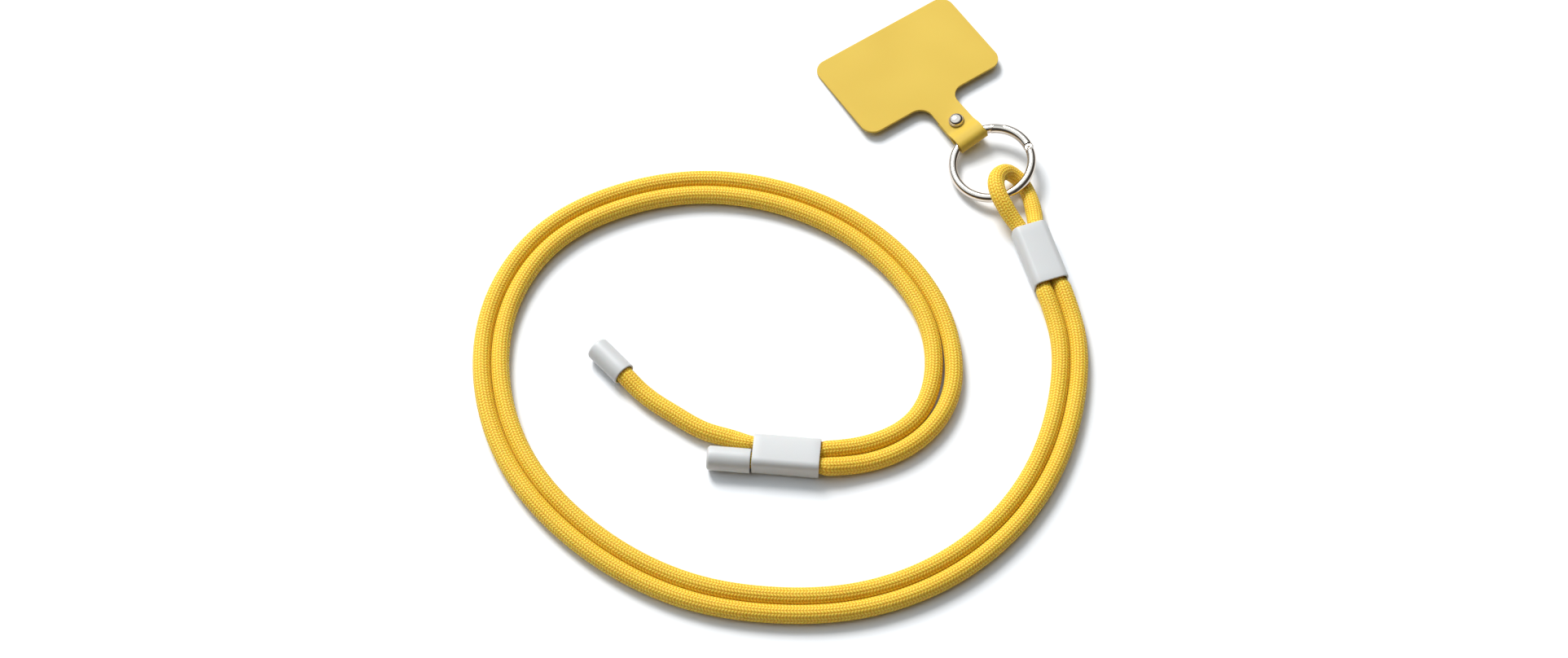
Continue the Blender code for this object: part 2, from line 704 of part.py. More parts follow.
def make_snap(material):
    """The domed head with its shank through both layers, and the plain button behind them."""
    r, shank = SNAP_D / 2, SHANK_D / 2
    base = TAB_T / 2 + SNAP_GAP
    rim = base + SNAP_RIM
    back = -(TAB_T / 2 + GAP + TAB_T + SNAP_GAP)
    flat = [(0, rim + SNAP_DOME), (r * 0.42, rim + SNAP_DOME * 0.93), (r * 0.80, rim + SNAP_DOME * 0.55)]
    profile = [*flat, (r, rim), (r, base), (shank, base), (shank, back - SOCKET_H), (0, back - SOCKET_H)]
    add_object("snap_cap", turned(profile[::-1], 24), material, snap_place())
    hole, outer, edge = shank + GAP, SOCKET_D / 2, SOCKET_H / 4
    ring = [(hole, back), (outer, back), (outer, back - SOCKET_H + edge),
            (outer - edge, back - SOCKET_H), (hole, back - SOCKET_H), (hole, back)]
    add_object("snap_socket", turned(ring, 24), material, snap_place())


def main():
    clear_scene()
    yellow_cord = new_material("braided_cord", (0.83, 0.50, 0.045), 0.75)
    yellow_tab = new_material("tab_sheet", (0.85, 0.60, 0.09), 0.55)
    white = new_material("white_plastic", (0.72, 0.72, 0.73), 0.38)
    nickel = new_material("nickel", (0.72, 0.70, 0.68), 0.16, 1.0)
    make_tab(yellow_tab)
    make_snap(nickel)
    make_ring(nickel)
    make_gate(nickel)
    make_pin(nickel)
    make_cord(yellow_cord)
    make_sleeve("loop_sleeve", loop_sleeve_place(), white)
    make_sleeve("slider_sleeve", slider_place(), white)
    make_cap("end_cap_short", short_cap_place(), white)
    make_cap("end_cap_tail", tail_cap_place(), white)
    pin = pin_place()
    print("hinge at", [round(v, 5) for v in pin.translation], "axis", [round(v, 5) for v in pin.col[2][:3]])


main()
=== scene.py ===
# %% [markdown]
# # A phone crossbody strap, laid in a spiral
#
# The strap is a braided cord folded in half. Its loop goes through a spring ring, the ring holds
# the tongue of a flat tab, and white sleeves and caps hold the strands together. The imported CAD
# model is the frame: each piece below is a finer surface that lies where its solid lies.

import math

import bmesh
import bpy
import numpy as np
from mathutils import Matrix, Vector


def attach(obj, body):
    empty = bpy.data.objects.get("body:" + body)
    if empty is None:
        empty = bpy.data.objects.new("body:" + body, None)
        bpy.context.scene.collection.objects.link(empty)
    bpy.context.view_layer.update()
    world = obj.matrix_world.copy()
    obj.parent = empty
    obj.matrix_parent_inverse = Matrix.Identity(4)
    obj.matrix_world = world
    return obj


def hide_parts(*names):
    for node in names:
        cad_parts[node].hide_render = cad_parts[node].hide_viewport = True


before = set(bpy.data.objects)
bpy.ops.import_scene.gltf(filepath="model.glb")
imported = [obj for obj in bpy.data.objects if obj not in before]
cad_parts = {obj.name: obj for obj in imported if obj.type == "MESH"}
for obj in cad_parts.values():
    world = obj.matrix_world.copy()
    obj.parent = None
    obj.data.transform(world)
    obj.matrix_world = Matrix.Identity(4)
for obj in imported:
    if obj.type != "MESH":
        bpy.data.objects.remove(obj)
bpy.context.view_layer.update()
MM = 0.001
UP = Vector((0, 0, 1))

# %% [markdown]
# The photograph looks down on the strap through a long lens, so the ring stays nearly a true
# ellipse and the sleeves' long edges stay nearly parallel. Lens, height and distance could be
# guessed by eye; here they were fitted to those edges, and the target is the table's middle.

# %% Camera
LENS = 71.06
ELEVATION = math.radians(61.1)
DISTANCE = 1190 * MM
TARGET = Vector((-17.6 * MM, -44.2 * MM, 0))

camera = bpy.data.objects.new("camera", bpy.data.cameras.new("camera"))
bpy.context.collection.objects.link(camera)
camera.data.lens = LENS
camera.data.sensor_width = 36.0
camera.data.clip_start = 10 * MM
camera.location = TARGET + DISTANCE * Vector((0, -math.cos(ELEVATION), math.sin(ELEVATION)))
camera.rotation_euler = (math.pi / 2 - ELEVATION, 0, 0)
bpy.context.scene.camera = camera
print("the camera stands", round(camera.location.z, 3), "m above the table")

# %% [markdown]
# The cord is laid by hand, so no formula gives its route. A few chosen points follow the middle
# line between its two strands, and the bend through the ring and the free tail have their own
# points. They are the same points as the solid's, in metres.

# %% Sizes of the cord, the sleeves and the caps
CORD_D = 0.0070
SQUEEZED_D = 0.0057
GAP = 0.0003
LANE_SPACING = CORD_D
SLEEVE_SPACING = SQUEEZED_D + GAP
MOUTH_FLARE = 0.0025
MOUTH_D = 0.0061
MOUTH_SPACING = 0.0061
CAP_FLARE = 0.0060
SETTLE = 0.0180
SLEEVE_LENGTH = 0.0253
SLEEVE_WALL = 0.0009
SLEEVE_WIDTH = SLEEVE_SPACING + SQUEEZED_D + 2 * GAP + 2 * SLEEVE_WALL
SLEEVE_HEIGHT = 0.0096
SLEEVE_CORNER = 0.0029
CAP_D = 0.0093
CAP_WALL = 0.0008
CAP_LENGTH = 0.0164
CAP_CORNER = 0.0013
CAP_GAP = 0.0005
CAP_ASIDE = 0.0034
CORD_IN_CAP = 0.0135
STEP_ASIDE = 0.0036
STEP_INSIDE = STEP_ASIDE * 0.9
STEP_UP = 0.0013
STEP_D = 0.0050

# %% Route of the cord
# The pair's middle line: x, y and how far the strands stand apart beyond touching
PAIR_ROUTE = (
    (0.0060, -0.1011, 0.0003),
    (0.0211, -0.0968, 0.0004),
    (0.0344, -0.0872, 0.0003),
    (0.0418, -0.0729, 0.0010),
    (0.0431, -0.0570, 0.0004),
    (0.0400, -0.0412, 0.0000),
    (0.0333, -0.0269, 0.0000),
    (0.0241, -0.0146, 0.0000),
    (0.0016, 0.0037, 0.0000),
    (-0.0240, 0.0143, 0.0000),
    (-0.0517, 0.0175, 0.0000),
    (-0.0808, 0.0117, 0.0000),
    (-0.1089, -0.0051, 0.0000),
    (-0.1266, -0.0362, 0.0000),
    (-0.1279, -0.0729, 0.0000),
    (-0.1159, -0.1055, 0.0000),
    (-0.0961, -0.1295, 0.0000),
    (-0.0737, -0.1461, 0.0000),
    (-0.0493, -0.1567, 0.0000),
    (-0.0224, -0.1612, 0.0000),
    (0.0082, -0.1598, 0.0000),
    (0.0419, -0.1471, 0.0000),
    (0.0727, -0.1179, 0.0000),
    (0.0836, -0.0969, 0.0000),
    (0.0900, -0.0729, 0.0000),
    (0.0908, -0.0476, 0.0000),
)
# The bend through the ring: x, y, z and the cord's diameter there
LOOP_ROUTE = (
    (0.0804, 0.0023, 0.0044, 0.0064),
    (0.0795, 0.0100, 0.0034, 0.0064),
    (0.0784, 0.0147, 0.0030, 0.0060),
    (0.0771, 0.0178, 0.0030, 0.0060),
    (0.0754, 0.0204, 0.0033, 0.0061),
    (0.0729, 0.0220, 0.0050, 0.0063),
    (0.0702, 0.0222, 0.0072, 0.0064),
    (0.0676, 0.0204, 0.0094, 0.0065),
    (0.0658, 0.0177, 0.0108, 0.0066),
    (0.0652, 0.0145, 0.0114, 0.0067),
    (0.0656, 0.0112, 0.0115, 0.0067),
    (0.0667, 0.0080, 0.0110, 0.0067),
    (0.0683, 0.0051, 0.0100, 0.0067),
    (0.0701, 0.0023, 0.0086, 0.0066),
)
# The tail, from the slider sleeve to its cap: x and y
TAIL_ROUTE = (
    (-0.0367, -0.0935),
    (-0.0459, -0.0906),
    (-0.0521, -0.0875),
    (-0.0599, -0.0823),
    (-0.0655, -0.0785),
    (-0.0721, -0.0729),
)

# %% Where the sleeves and caps lie
SLIDER_MIDDLE = Vector((-0.0167, -0.1010, SLEEVE_HEIGHT / 2))
SLIDER_HEADING = math.radians(-5.1)
LOOP_SLEEVE_XY = (0.0815, -0.0151)
LOOP_SLEEVE_HEADING = math.radians(108.4)
LOOP_SLEEVE_LIFT = math.radians(3.6)
TAIL_CAP_MOUTH = (-0.0782, -0.0666)
TAIL_CAP_HEADING = math.radians(132.6)


def placed(origin, x_axis, up=UP):
    """A piece's place: its x along x_axis, and its z as near to up as that allows."""
    x = x_axis.normalized()
    y = up.cross(x).normalized()
    return Matrix.Translation(origin) @ Matrix((x, y, x.cross(y))).transposed().to_4x4()


def sleeve_place(middle, heading, lift=0.0):
    """Along the heading, with its far end raised by the lift."""
    flat = math.cos(lift)
    return placed(middle, Vector((math.cos(heading) * flat, math.sin(heading) * flat, math.sin(lift))))


raised = SLEEVE_LENGTH / 2 * math.sin(LOOP_SLEEVE_LIFT) + SLEEVE_HEIGHT / 2 * math.cos(LOOP_SLEEVE_LIFT)
slider = sleeve_place(SLIDER_MIDDLE, SLIDER_HEADING)
loop_sleeve = sleeve_place(Vector((*LOOP_SLEEVE_XY, raised)), LOOP_SLEEVE_HEADING, LOOP_SLEEVE_LIFT)
short_mouth = slider @ Vector((-SLEEVE_LENGTH / 2 - CAP_GAP, -CAP_ASIDE, 0))
short_cap = placed(Vector((*short_mouth.xy, CAP_D / 2)), slider.to_3x3() @ Vector((1, 0, 0)))
tail_out = Vector((-math.cos(TAIL_CAP_HEADING), -math.sin(TAIL_CAP_HEADING), 0))
tail_cap = placed(Vector((*TAIL_CAP_MOUTH, CAP_D / 2)), tail_out)
print("slider sleeve at", [round(v, 4) for v in slider.translation])

# %% [markdown]
# A smooth line through a few points is a spline. Blender's Bezier handles would need tuning at
# every point, so a natural cubic spline is used: it bends as little as it can, as a cord does.


# %% Spline through chosen points
def smoothstep(x):
    """0 below 0, 1 above 1, and 3x squared minus 2x cubed between."""
    x = np.clip(x, 0, 1)
    return x * x * (3 - 2 * x)


def spline(knots):
    """A natural cubic spline by chord length: each knot's place along it, and its reader."""
    knots = np.asarray(knots, float)
    at = np.r_[0, np.cumsum(np.linalg.norm(np.diff(knots[:, :3], axis=0), axis=1))]
    step = np.diff(at)
    count = len(knots)
    matrix, right = np.eye(count), np.zeros_like(knots)
    for i in range(1, count - 1):
        matrix[i, i - 1 : i + 2] = step[i - 1], 2 * (step[i - 1] + step[i]), step[i]
        right[i] = 6 * ((knots[i + 1] - knots[i]) / step[i] - (knots[i] - knots[i - 1]) / step[i - 1])
    bend = np.linalg.solve(matrix, right)

    def read(where):
        i = np.clip(np.searchsorted(at, where, side="right") - 1, 0, count - 2)
        h = step[i][:, None]
        a, b = (at[i + 1] - where)[:, None], (where - at[i])[:, None]
        curved = (bend[i] * a**3 + bend[i + 1] * b**3) / (6 * h)
        before, after = knots[i] / h - bend[i] * h / 6, knots[i + 1] / h - bend[i + 1] * h / 6
        return curved + before * a + after * b

    return at, read


# %% [markdown]
# The two strands lie half a lane to each side of their middle line and close up where the
# sleeves squeeze them. The solids keep a small gap between the strands; here they touch. All
# stretches are then joined end to end into one line, with the cord's diameter kept beside each
# point, and read at an even step of about a millimetre.

# %% The cord's line
FINE = 1.0 * MM
sleeve_end, sleeve_lane = SLEEVE_LENGTH / 2, MOUTH_SPACING / 2


def knot(place, x, y=0.0, z=0.0, diameter=CORD_D):
    """A point of the route given in a piece's own axes, with the cord's diameter."""
    return (*(place @ Vector((x, y, z))), diameter)


def stretch(knots):
    """The spline from the second knot to the last but one; the outer two give it direction."""
    at, read = spline(knots)
    return read(np.linspace(at[1], at[-2], round((at[-2] - at[1]) / FINE) + 1))


def pair_of_strands():
    """Middle line plus and minus half the lane; lane, height and diameter ease at the mouths."""
    at, read = spline(
        [knot(slider, 0, diameter=0), knot(slider, sleeve_end, diameter=0),
         *[(x, y, CORD_D / 2, spread) for x, y, spread in PAIR_ROUTE],
         knot(loop_sleeve, -sleeve_end, diameter=0), knot(loop_sleeve, 0, diameter=0)]
    )
    first, last = at[1], at[-2]
    where = np.linspace(first, last, round((last - first) / FINE) + 1)
    middle = read(where)
    near = 0.1 * MM
    ahead = read(where + near) - read(where - near)
    side = np.stack([ahead[:, 1], -ahead[:, 0]], axis=1)
    side /= np.linalg.norm(side, axis=1)[:, None]
    to_sleeve = np.minimum(where - first, last - where)
    full = smoothstep(to_sleeve / MOUTH_FLARE)
    diameter = MOUTH_D + (CORD_D - MOUTH_D) * full
    apart = MOUTH_SPACING + (LANE_SPACING - MOUTH_SPACING + np.clip(middle[:, 3], 0, None)) * full
    height = middle[0, 2] + (middle[-1, 2] - middle[0, 2]) * (where - first) / (last - first)
    height = height + (CORD_D / 2 - height) * smoothstep(to_sleeve / SETTLE)
    shift = side * apart[:, None] / 2
    return [np.column_stack([middle[:, :2] + way * shift, height, diameter]) for way in (1, -1)]


outer_strand, inner_strand = pair_of_strands()
loop = stretch(
    [knot(loop_sleeve, 0, -sleeve_lane, 0, MOUTH_D),
     knot(loop_sleeve, sleeve_end, -sleeve_lane, 0, MOUTH_D),
     *LOOP_ROUTE,
     knot(loop_sleeve, sleeve_end, sleeve_lane, 0, MOUTH_D),
     knot(loop_sleeve, 0, sleeve_lane, 0, MOUTH_D)]
)
tail = stretch(
    [knot(slider, -sleeve_end / 2, STEP_INSIDE, STEP_UP, STEP_D),
     knot(slider, -sleeve_end, STEP_ASIDE, STEP_UP, STEP_D),
     *[(x, y, CORD_D / 2, CORD_D) for x, y in TAIL_ROUTE],
     knot(tail_cap, 0), knot(tail_cap, -CORD_IN_CAP / 2)]
)
short_end = stretch(
    [knot(short_cap, -CORD_IN_CAP - FINE), knot(short_cap, -CORD_IN_CAP),
     knot(short_cap, -CORD_IN_CAP / 2),
     knot(short_cap, -CAP_FLARE / 2, CAP_ASIDE - sleeve_lane, 0, MOUTH_D),
     knot(slider, -sleeve_end + FINE, -sleeve_lane, 0, MOUTH_D),
     knot(slider, 0, -sleeve_lane, 0, MOUTH_D)]
)
slider_pass = [knot(slider, 0, sleeve_lane, 0, MOUTH_D)]
cap_end = [knot(tail_cap, -CORD_IN_CAP)]


def joined(stretches):
    """All rows in order, without those that repeat, at an even step of the whole length."""
    rows = np.vstack(stretches)
    rows = rows[np.r_[True, np.linalg.norm(np.diff(rows[:, :3], axis=0), axis=1) > FINE / 5]]
    along = np.r_[0, np.cumsum(np.linalg.norm(np.diff(rows[:, :3], axis=0), axis=1))]
    even = np.linspace(0, along[-1], round(along[-1] / FINE) + 1)
    return np.column_stack([np.interp(even, along, column) for column in rows.T])


cord_line = joined([short_end, outer_strand, loop, inner_strand[::-1], slider_pass, tail, cap_end])
cord_line[:, 3] = np.clip(cord_line[:, 3], STEP_D, CORD_D)
cord_line[:, 2] = np.maximum(cord_line[:, 2], cord_line[:, 3] / 2)
cord_along = np.r_[0, np.cumsum(np.linalg.norm(np.diff(cord_line[:, :3], axis=0), axis=1))]
print("the cord is", round(float(cord_along[-1]), 3), "m long, in", len(cord_line), "rings")

# %% [markdown]
# Every surface below is a grid of points worked out by numpy, with quads between them. These
# helpers turn such a grid into a mesh whose object stays at the origin and rides its CAD body.


# %% From a grid to a piece
SAME_PLACE = 0.001 * MM


def grid_quads(rows, columns, closed_rows=False, closed_columns=False):
    """Point (i, j) has the index i * columns + j, and each quad runs on to row i + 1 first."""
    i = np.arange(rows if closed_rows else rows - 1)
    j = np.arange(columns if closed_columns else columns - 1)
    i, j = np.meshgrid(i, j, indexing="ij")
    below, beside = (i + 1) % rows, (j + 1) % columns
    quads = (i * columns + j, below * columns + j, below * columns + beside, i * columns + beside)
    return np.stack(quads, axis=-1).reshape(-1, 4).tolist()


def tube_faces(rows, sides):
    """Quads between rings, and a fan at each end to the two points that follow the rings."""
    quads = grid_quads(rows, sides, closed_columns=True)
    ring, beside, last = np.arange(sides), np.roll(np.arange(sides), -1), (rows - 1) * sides
    start_fan = np.column_stack([np.full(sides, rows * sides), ring, beside])
    end_fan = np.column_stack([np.full(sides, rows * sides + 1), last + beside, last + ring])
    return quads + start_fan.tolist() + end_fan.tolist()


def new_piece(name, points, faces, material, replaced, body="strap"):
    """A smooth-shaded mesh that rides a body in place of a CAD node."""
    mesh = bpy.data.meshes.new(name)
    mesh.from_pydata(np.asarray(points, float).reshape(-1, 3).tolist(), [], faces)
    mesh.shade_smooth()
    mesh.materials.append(material)
    piece = bpy.data.objects.new(name, mesh)
    bpy.context.collection.objects.link(piece)
    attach(piece, body)
    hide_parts(replaced)
    print(name, "has", len(mesh.polygons), "faces")
    return piece


def carried_to(place, points):
    """Points from a piece's own axes to the table's."""
    matrix = np.array(place)
    return np.asarray(points) @ matrix[:3, :3].T + matrix[:3, 3]


def merge_doubles(piece):
    """Points at one place become one, and faces then point outwards."""
    merged = bmesh.new()
    merged.from_mesh(piece.data)
    bmesh.ops.remove_doubles(merged, verts=merged.verts, dist=SAME_PLACE)
    bmesh.ops.recalc_face_normals(merged, faces=merged.faces)
    merged.to_mesh(piece.data)
    merged.free()


# %% [markdown]
# A material starts from its Principled shader. Colours are picked as sRGB, as an eye reads them
# on a screen, and are turned to linear light before they reach a socket.


# %% Material helpers
def linear(hex_colour):
    """sRGB to linear: over 12.92 near black, else ((c + 0.055) / 1.055) to the power 2.4."""
    srgb = np.array([int(hex_colour[i : i + 2], 16) for i in (1, 3, 5)]) / 255
    light = np.where(srgb <= 0.04045, srgb / 12.92, ((srgb + 0.055) / 1.055) ** 2.4)
    return (*light.tolist(), 1.0)


def add_node(owner, kind, inputs=(), **settings):
    """A node with its settings; an input gets a value, a link, or a node's first output."""
    node = owner.node_tree.nodes.new("ShaderNode" + kind)
    for name, value in settings.items():
        setattr(node, name, value)
    for key, value in inputs.items() if isinstance(inputs, dict) else enumerate(inputs):
        if isinstance(value, bpy.types.Node):
            value = value.outputs[0]
        if isinstance(value, bpy.types.NodeSocket):
            owner.node_tree.links.new(value, node.inputs[key])
        else:
            node.inputs[key].default_value = value
    return node


def new_material(name, sockets):
    """A node material whose Principled shader has these sockets set, and that shader."""
    material = bpy.data.materials.new(name)
    material.use_nodes = True
    shader = material.node_tree.nodes["Principled BSDF"]
    for socket, value in sockets.items():
        shader.inputs[socket].default_value = value
    return material, shader


def link(owner, node, socket):
    """The node's first output into a shader's socket."""
    owner.node_tree.links.new(node.outputs[0], socket)


# %% [markdown]
# The cord is a tubular braid of polyester yarn: 32 carriers cross over and under two at a time,
# which shows as 16 ribs along the cord. The stitches of a rib lean one way and those of the next
# rib the other way. They could be modelled strand by strand, in millions of faces. Here a UV map
# counts stitches along the cord (U) and ribs round it (V), and the shader draws each stitch as a
# rounded ridge that dips under at both sides of its rib, where small holes stay. The colour
# follows that height: painted shade darkens the dips and the holes, and a painted highlight
# lightens the ridge tops.

# %% Braided polyester
STITCH = 1.2 * MM
RIBS = 16
STITCH_LEAN = 0.62
STITCH_DEPTH = 0.30 * MM


def braided_polyester():
    """Height is |sin| of the stitch count, shifted across the rib, times a sine over the rib."""
    yarn, shader = new_material("braided polyester yarn", {
        "Roughness": 0.60,
        "Specular IOR Level": 0.35,
        "Subsurface Weight": 0.45,
        "Subsurface Scale": 2.4 * MM,
        "Subsurface Radius": (1.0, 0.42, 0.10),
        "Sheen Weight": 0.08,
        "Sheen Roughness": 0.45,
        "Sheen Tint": linear("#FFE58C"),
    })
    counts = add_node(yarn, "SeparateXYZ", [add_node(yarn, "UVMap", uv_map="braid")])
    stitch, rib = counts.outputs[0], counts.outputs[1]
    across = add_node(yarn, "Math", [rib], operation="FRACT")
    pair = add_node(yarn, "Math", [rib, 2.0], operation="MODULO")
    second = add_node(yarn, "Math", [pair, 1.0], operation="GREATER_THAN")
    way = add_node(yarn, "Math", [second, 2 * STITCH_LEAN, -STITCH_LEAN], operation="MULTIPLY_ADD")
    centred = add_node(yarn, "Math", [across, 0.5], operation="SUBTRACT")
    phase = add_node(yarn, "Math", [centred, way, stitch], operation="MULTIPLY_ADD")
    angle = add_node(yarn, "Math", [phase, math.pi], operation="MULTIPLY")
    sine = add_node(yarn, "Math", [angle], operation="SINE")
    wave = add_node(yarn, "Math", [sine], operation="ABSOLUTE")
    ridge = add_node(yarn, "Math", [wave, 0.7], operation="POWER")
    rib_angle = add_node(yarn, "Math", [across, math.pi], operation="MULTIPLY")
    rib_wave = add_node(yarn, "Math", [rib_angle], operation="SINE")
    rib_rise = add_node(yarn, "Math", [rib_wave, 0.5], operation="POWER")
    height = add_node(yarn, "Math", [ridge, rib_rise], operation="MULTIPLY")
    # Dye and yarn vary a little over a few centimetres
    place = add_node(yarn, "TexCoord").outputs["Object"]
    dye = add_node(yarn, "TexNoise", {"Vector": place, "Scale": 1 / (22 * MM), "Detail": 2.0})
    uneven = add_node(yarn, "Math", [dye, 0.5], operation="SUBTRACT")
    # Painted shade and highlight: the colour follows the stitch height, darker down in the dips and
    # holes and paler on the ridge tops; the dye noise adds a little real tone
    shade = add_node(yarn, "Math", [uneven, 0.2, height], operation="MULTIPLY_ADD")
    colour = add_node(yarn, "ValToRGB", [shade])
    # The deep end is the painted shade of the dips and holes, and the lit end is the painted highlight
    # of the ridge tops
    deep, lit = colour.color_ramp.elements
    deep.position, deep.color = 0.02, linear("#C88D0D")
    lit.position, lit.color = 0.95, linear("#F5D755")
    colour.color_ramp.elements.new(0.45).color = linear("#EBBA2A")
    relief = add_node(yarn, "Bump", {"Height": height, "Distance": STITCH_DEPTH, "Strength": 0.65})
    link(yarn, colour, shader.inputs["Base Color"])
    link(yarn, relief, shader.inputs["Normal"])
    return yarn


yarn = braided_polyester()
print("a stitch is", STITCH / MM, "mm long and a rib", round(math.pi * CORD_D / RIBS / MM, 2), "mm wide")

# %% [markdown]
# The tube is carried along the line. A frame that always points up would spin where the cord
# climbs through the ring, so each ring's frame is the one before it, turned only as far as the
# line bends, and the ribs run along the cord without a twist.

# %% The cord
CORD_SIDES = 48
RIB_RISE = 0.10 * MM


def carried_frames(points):
    """Directions beside and over the line, each row turned only as far as the line bends."""
    ahead = np.gradient(points, axis=0)
    ahead /= np.linalg.norm(ahead, axis=1)[:, None]
    side = np.empty_like(ahead)
    side[0] = np.cross(ahead[0], UP)
    for i in range(1, len(points)):
        side[i] = side[i - 1] - ahead[i] * (side[i - 1] @ ahead[i])
        side[i] /= np.linalg.norm(side[i])
    return side, np.cross(side, ahead)


def cord_rings():
    """Each ring is the centre plus r (side cos v + over sin v), where r rises over each rib."""
    side, over = carried_frames(cord_line[:, :3])
    turn = np.linspace(0, 2 * np.pi, CORD_SIDES, endpoint=False)
    radius = cord_line[:, 3, None] / 2 - RIB_RISE * (1 - np.abs(np.sin(turn * RIBS / 2)))
    return cord_line[:, None, :3] + radius[..., None] * (
        np.cos(turn)[:, None] * side[:, None] + np.sin(turn)[:, None] * over[:, None]
    )


rings = cord_rings()
quads = grid_quads(*rings.shape[:2], closed_columns=True)
last_ring = (len(rings) - 1) * CORD_SIDES
ends = [list(range(CORD_SIDES)), [last_ring + k for k in reversed(range(CORD_SIDES))]]
cord = new_piece("braided_cord_tube", rings, quads + ends, yarn, "cord")

# %% Stitch counts on the cord
corner = np.empty(len(cord.data.loops), np.int32)
cord.data.loops.foreach_get("vertex_index", corner)
around = (corner % CORD_SIDES)[: 4 * len(quads)].reshape(-1, 4)
crosses_seam = (around == CORD_SIDES - 1).any(1)[:, None] & (around == 0)
around = np.r_[np.where(crosses_seam, CORD_SIDES, around).ravel(), np.zeros(2 * CORD_SIDES)]
counts = np.column_stack([cord_along[corner // CORD_SIDES] / STITCH, around * RIBS / CORD_SIDES])
cord.data.uv_layers.new(name="braid").data.foreach_set("uv", counts.astype(np.float32).ravel())
print("about", round(float(counts[:, 0].max())), "stitches along the cord")

# %% [markdown]
# Sleeves and caps are injection-moulded ABS: white, satin, with soft edges. A spark-eroded mould
# leaves a grain of about 0.1 mm. It is too fine for the picture, so it is drawn at 0.3 mm, and
# the slow waves are the slight sink of a moulding as it cools.


# %% Moulded ABS
def moulded_abs():
    """The height is fine noise for the grain, plus slow noise for the sink."""
    plastic, shader = new_material("moulded white ABS", {
        "Base Color": linear("#C9C8C6"),
        "Roughness": 0.42,
        "IOR": 1.54,
        "Subsurface Weight": 0.08,
        "Subsurface Scale": 1.0 * MM,
    })
    place = add_node(plastic, "TexCoord").outputs["Object"]
    grain = add_node(plastic, "TexNoise", {"Vector": place, "Scale": 1 / (0.3 * MM), "Detail": 2.0})
    sink = add_node(plastic, "TexNoise", {"Vector": place, "Scale": 1 / (8 * MM), "Detail": 0.0})
    height = add_node(plastic, "Math", [sink, 3.0, grain], operation="MULTIPLY_ADD")
    relief = add_node(plastic, "Bump", {"Height": height, "Distance": 0.012 * MM, "Strength": 0.5})
    link(plastic, relief, shader.inputs["Normal"])
    return plastic


abs_white = moulded_abs()

# %% [markdown]
# A sleeve is a short flattened tube. Its wall's own section, a thin strip with rounded rims, is
# carried round a rounded rectangle, which gives inside, outside and both rims in one surface.

# %% Sleeves
RIM_R = 0.35 * MM


def wall_profile(length, wall, rim):
    """Closed line round the wall: place along the tube, and depth below the outer face."""
    a = np.linspace(0, np.pi / 2, 5)
    far, run = length / 2 - rim, np.linspace(-1, 1, 9)[1:-1] * (length / 2 - rim)
    outer = np.column_stack([run[::-1], np.zeros(len(run))])
    inner = np.column_stack([run, np.full(len(run), wall)])
    rims = [
        (-far - rim * np.sin(a), rim * (1 - np.cos(a))),
        (-far - rim * np.cos(a), wall - rim * (1 - np.sin(a))),
        (far + rim * np.sin(a), wall - rim * (1 - np.cos(a))),
        (far + rim * np.cos(a), rim * (1 - np.sin(a))),
    ]
    rims = [np.column_stack(corner) for corner in rims]
    return np.vstack([outer, rims[0], rims[1], inner, rims[2], rims[3]])


def sleeve_surface(length, width, height, corner_r, wall):
    """Rounded rectangle whose corners keep their centres, each radius less the depth."""
    profile = wall_profile(length, wall, RIM_R)
    turn = np.linspace(0, np.pi / 2, 9)
    outline = []
    for k, (y_way, z_way) in enumerate(((1, 1), (-1, 1), (-1, -1), (1, -1))):
        angle = turn + k * np.pi / 2
        centre = (y_way * (width / 2 - corner_r), z_way * (height / 2 - corner_r))
        outline.append(np.column_stack([np.tile(centre, (len(angle), 1)), np.cos(angle), np.sin(angle)]))
    outline = np.vstack(outline)
    radius = corner_r - profile[:, 1:]
    y = outline[:, 0] + radius * outline[:, 2]
    z = outline[:, 1] + radius * outline[:, 3]
    return np.stack([np.broadcast_to(profile[:, :1], y.shape), y, z], axis=-1)


for name, place in (("slider_sleeve", slider), ("loop_sleeve", loop_sleeve)):
    surface = sleeve_surface(SLEEVE_LENGTH, SLEEVE_WIDTH, SLEEVE_HEIGHT, SLEEVE_CORNER, SLEEVE_WALL)
    faces = grid_quads(*surface.shape[:2], closed_rows=True, closed_columns=True)
    sleeve = new_piece(name + "_moulding", carried_to(place, surface), faces, abs_white, name)

# %% [markdown]
# A cap is a thimble: one line from the middle of its inner floor, along the bore, round the rim,
# back along the outside and round the closed end, turned about the cord's axis.

# %% Caps
CAP_SIDES = 64


def cap_line():
    """Place along the cap (mouth at 0, closed end negative) and radius, from pole to pole."""
    outer, inner = CAP_D / 2, CAP_D / 2 - CAP_WALL
    half, quarter = CAP_WALL / 2, np.linspace(0, np.pi / 2, 9)
    floor, bore_r = CAP_WALL - CAP_LENGTH, CAP_CORNER - CAP_WALL
    end = CAP_CORNER - CAP_LENGTH
    bore = [(floor, 0), (floor, inner / 2)]
    bore += [(floor + bore_r * (1 - math.cos(a)), inner - bore_r * (1 - math.sin(a))) for a in quarter]
    bore += [(floor * share, inner) for share in (0.75, 0.5, 0.25)]
    over_rim = np.linspace(0, np.pi, 11)
    rim = [(half * math.sin(a) - half, outer - half - half * math.cos(a)) for a in over_rim]
    shell = [(-CAP_LENGTH * share, outer) for share in (0.25, 0.5, 0.75)]
    shell += [(end - CAP_CORNER * math.sin(a), outer - CAP_CORNER * (1 - math.cos(a))) for a in quarter]
    return np.array([*bore, *rim, *shell, (-CAP_LENGTH, outer / 2), (-CAP_LENGTH, 0)])


def turned_surface(line, sides):
    """Each row of the line becomes a ring about x, and the first and last rows are the poles."""
    turn = np.linspace(0, 2 * np.pi, sides, endpoint=False)
    rows = line[1:-1]
    x = np.broadcast_to(rows[:, :1], (len(rows), sides))
    rings = np.stack([x, rows[:, 1:] * np.cos(turn), rows[:, 1:] * np.sin(turn)], axis=-1)
    points = np.vstack([rings.reshape(-1, 3), [[line[0, 0], 0, 0], [line[-1, 0], 0, 0]]])
    return points, tube_faces(len(rows), sides)


